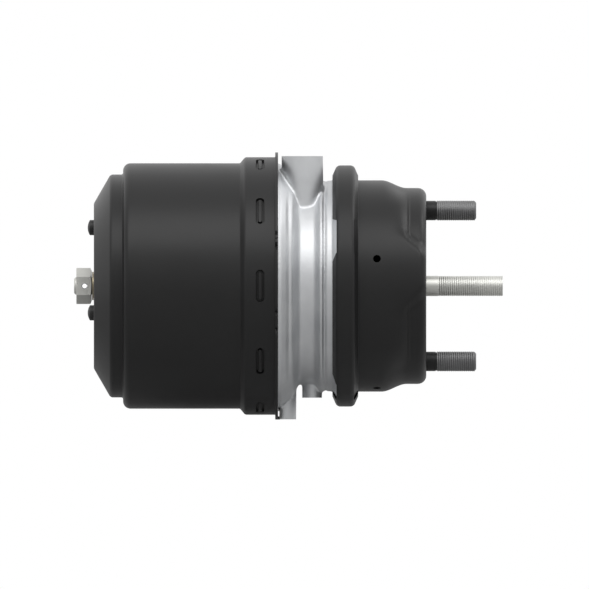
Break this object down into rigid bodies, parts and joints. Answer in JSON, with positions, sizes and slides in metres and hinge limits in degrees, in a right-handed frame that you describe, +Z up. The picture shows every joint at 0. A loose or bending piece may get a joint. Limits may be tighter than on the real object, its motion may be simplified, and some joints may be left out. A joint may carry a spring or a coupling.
{
  "type": "spring brake chamber",
  "caption": "Air brake chamber with a diaphragm service section, a cast flange with two ports, a spring parking section and a threaded push rod.",
  "frame": {"origin": "centre of the mounting face, midway between the two studs, on the axis of the push rod", "axes": "+X along the axis, the way the push rod moves out; +Z up, towards the air ports; the studs lie in the XZ plane"},
  "size_m": [0.3429, 0.2269, 0.2138],
  "materials": {
    "black_steel": "satin black paint on pressed steel",
    "cast_aluminium": "blasted casting",
    "bright_zinc": "clear zinc plate",
    "yellow_zinc": "yellow passivated zinc plate",
    "dark_steel": "dark phosphate",
    "spring_steel": "oiled spring steel",
    "black_plastic": "moulded",
    "pale_plastic": "moulded",
    "rubber": "moulded"
  },
  "bodies": {
    "root": {"spring_housing": "black_steel", "vent_plugs": "black_plastic", "release_bush": "yellow_zinc", "spring_seat": "black_plastic", "power_spring": "spring_steel", "intermediate_flange": "cast_aluminium", "housing_o_ring": "rubber", "tube_bush": "pale_plastic", "tube_seals": "rubber", "seal_retainer": "spring_steel", "diaphragm": "rubber", "return_spring": "spring_steel", "service_housing": "black_steel", "mounting_plate": "black_steel", "mounting_studs": "dark_steel", "dust_plate": "rubber", "clamp_ring": "black_steel", "clamp_bolt": "dark_steel", "clamp_nut": "dark_steel", "clamp_washers": "dark_steel"},
    "piston": {"spring_piston": "cast_aluminium", "piston_seal": "rubber", "piston_guide_ring": "pale_plastic", "piston_tube": "bright_zinc", "tube_circlip": "spring_steel", "tube_cap": "pale_plastic"},
    "push_rod": {"push_rod": "bright_zinc", "push_plate": "bright_zinc"},
    "release_screw": {"release_bolt": "bright_zinc", "release_hex": "bright_zinc", "release_pin": "spring_steel"},
    "release_plate": {"release_plate": "spring_steel"}
  },
  "joints": [
    {"name": "parking_stroke", "type": "slide", "parent": "root", "child": "piston", "axis": [1, 0, 0], "range_m": [0, 0.057], "deforming": ["power_spring"]},
    {"name": "push_rod_stroke", "type": "slide", "parent": "root", "child": "push_rod", "axis": [1, 0, 0], "range_m": [0, 0.057], "stiffness_N_per_m": 1500, "deforming": ["return_spring", "diaphragm"]},
    {"name": "release_turn", "type": "hinge", "parent": "root", "child": "release_screw", "pos_m": [-0.2738, 0, 0], "axis": [1, 0, 0], "range_deg": [0, 1440]},
    {"name": "release_travel", "type": "slide", "parent": "root", "child": "release_plate", "axis": [-1, 0, 0], "range_m": [0, 0.00801]}
  ],
  "couplings": [
    {"joint": "push_rod_stroke", "follows": "parking_stroke", "ratio": 1},
    {"joint": "release_travel", "follows": "release_turn", "m_per_rad": 0.00031831}
  ]
}
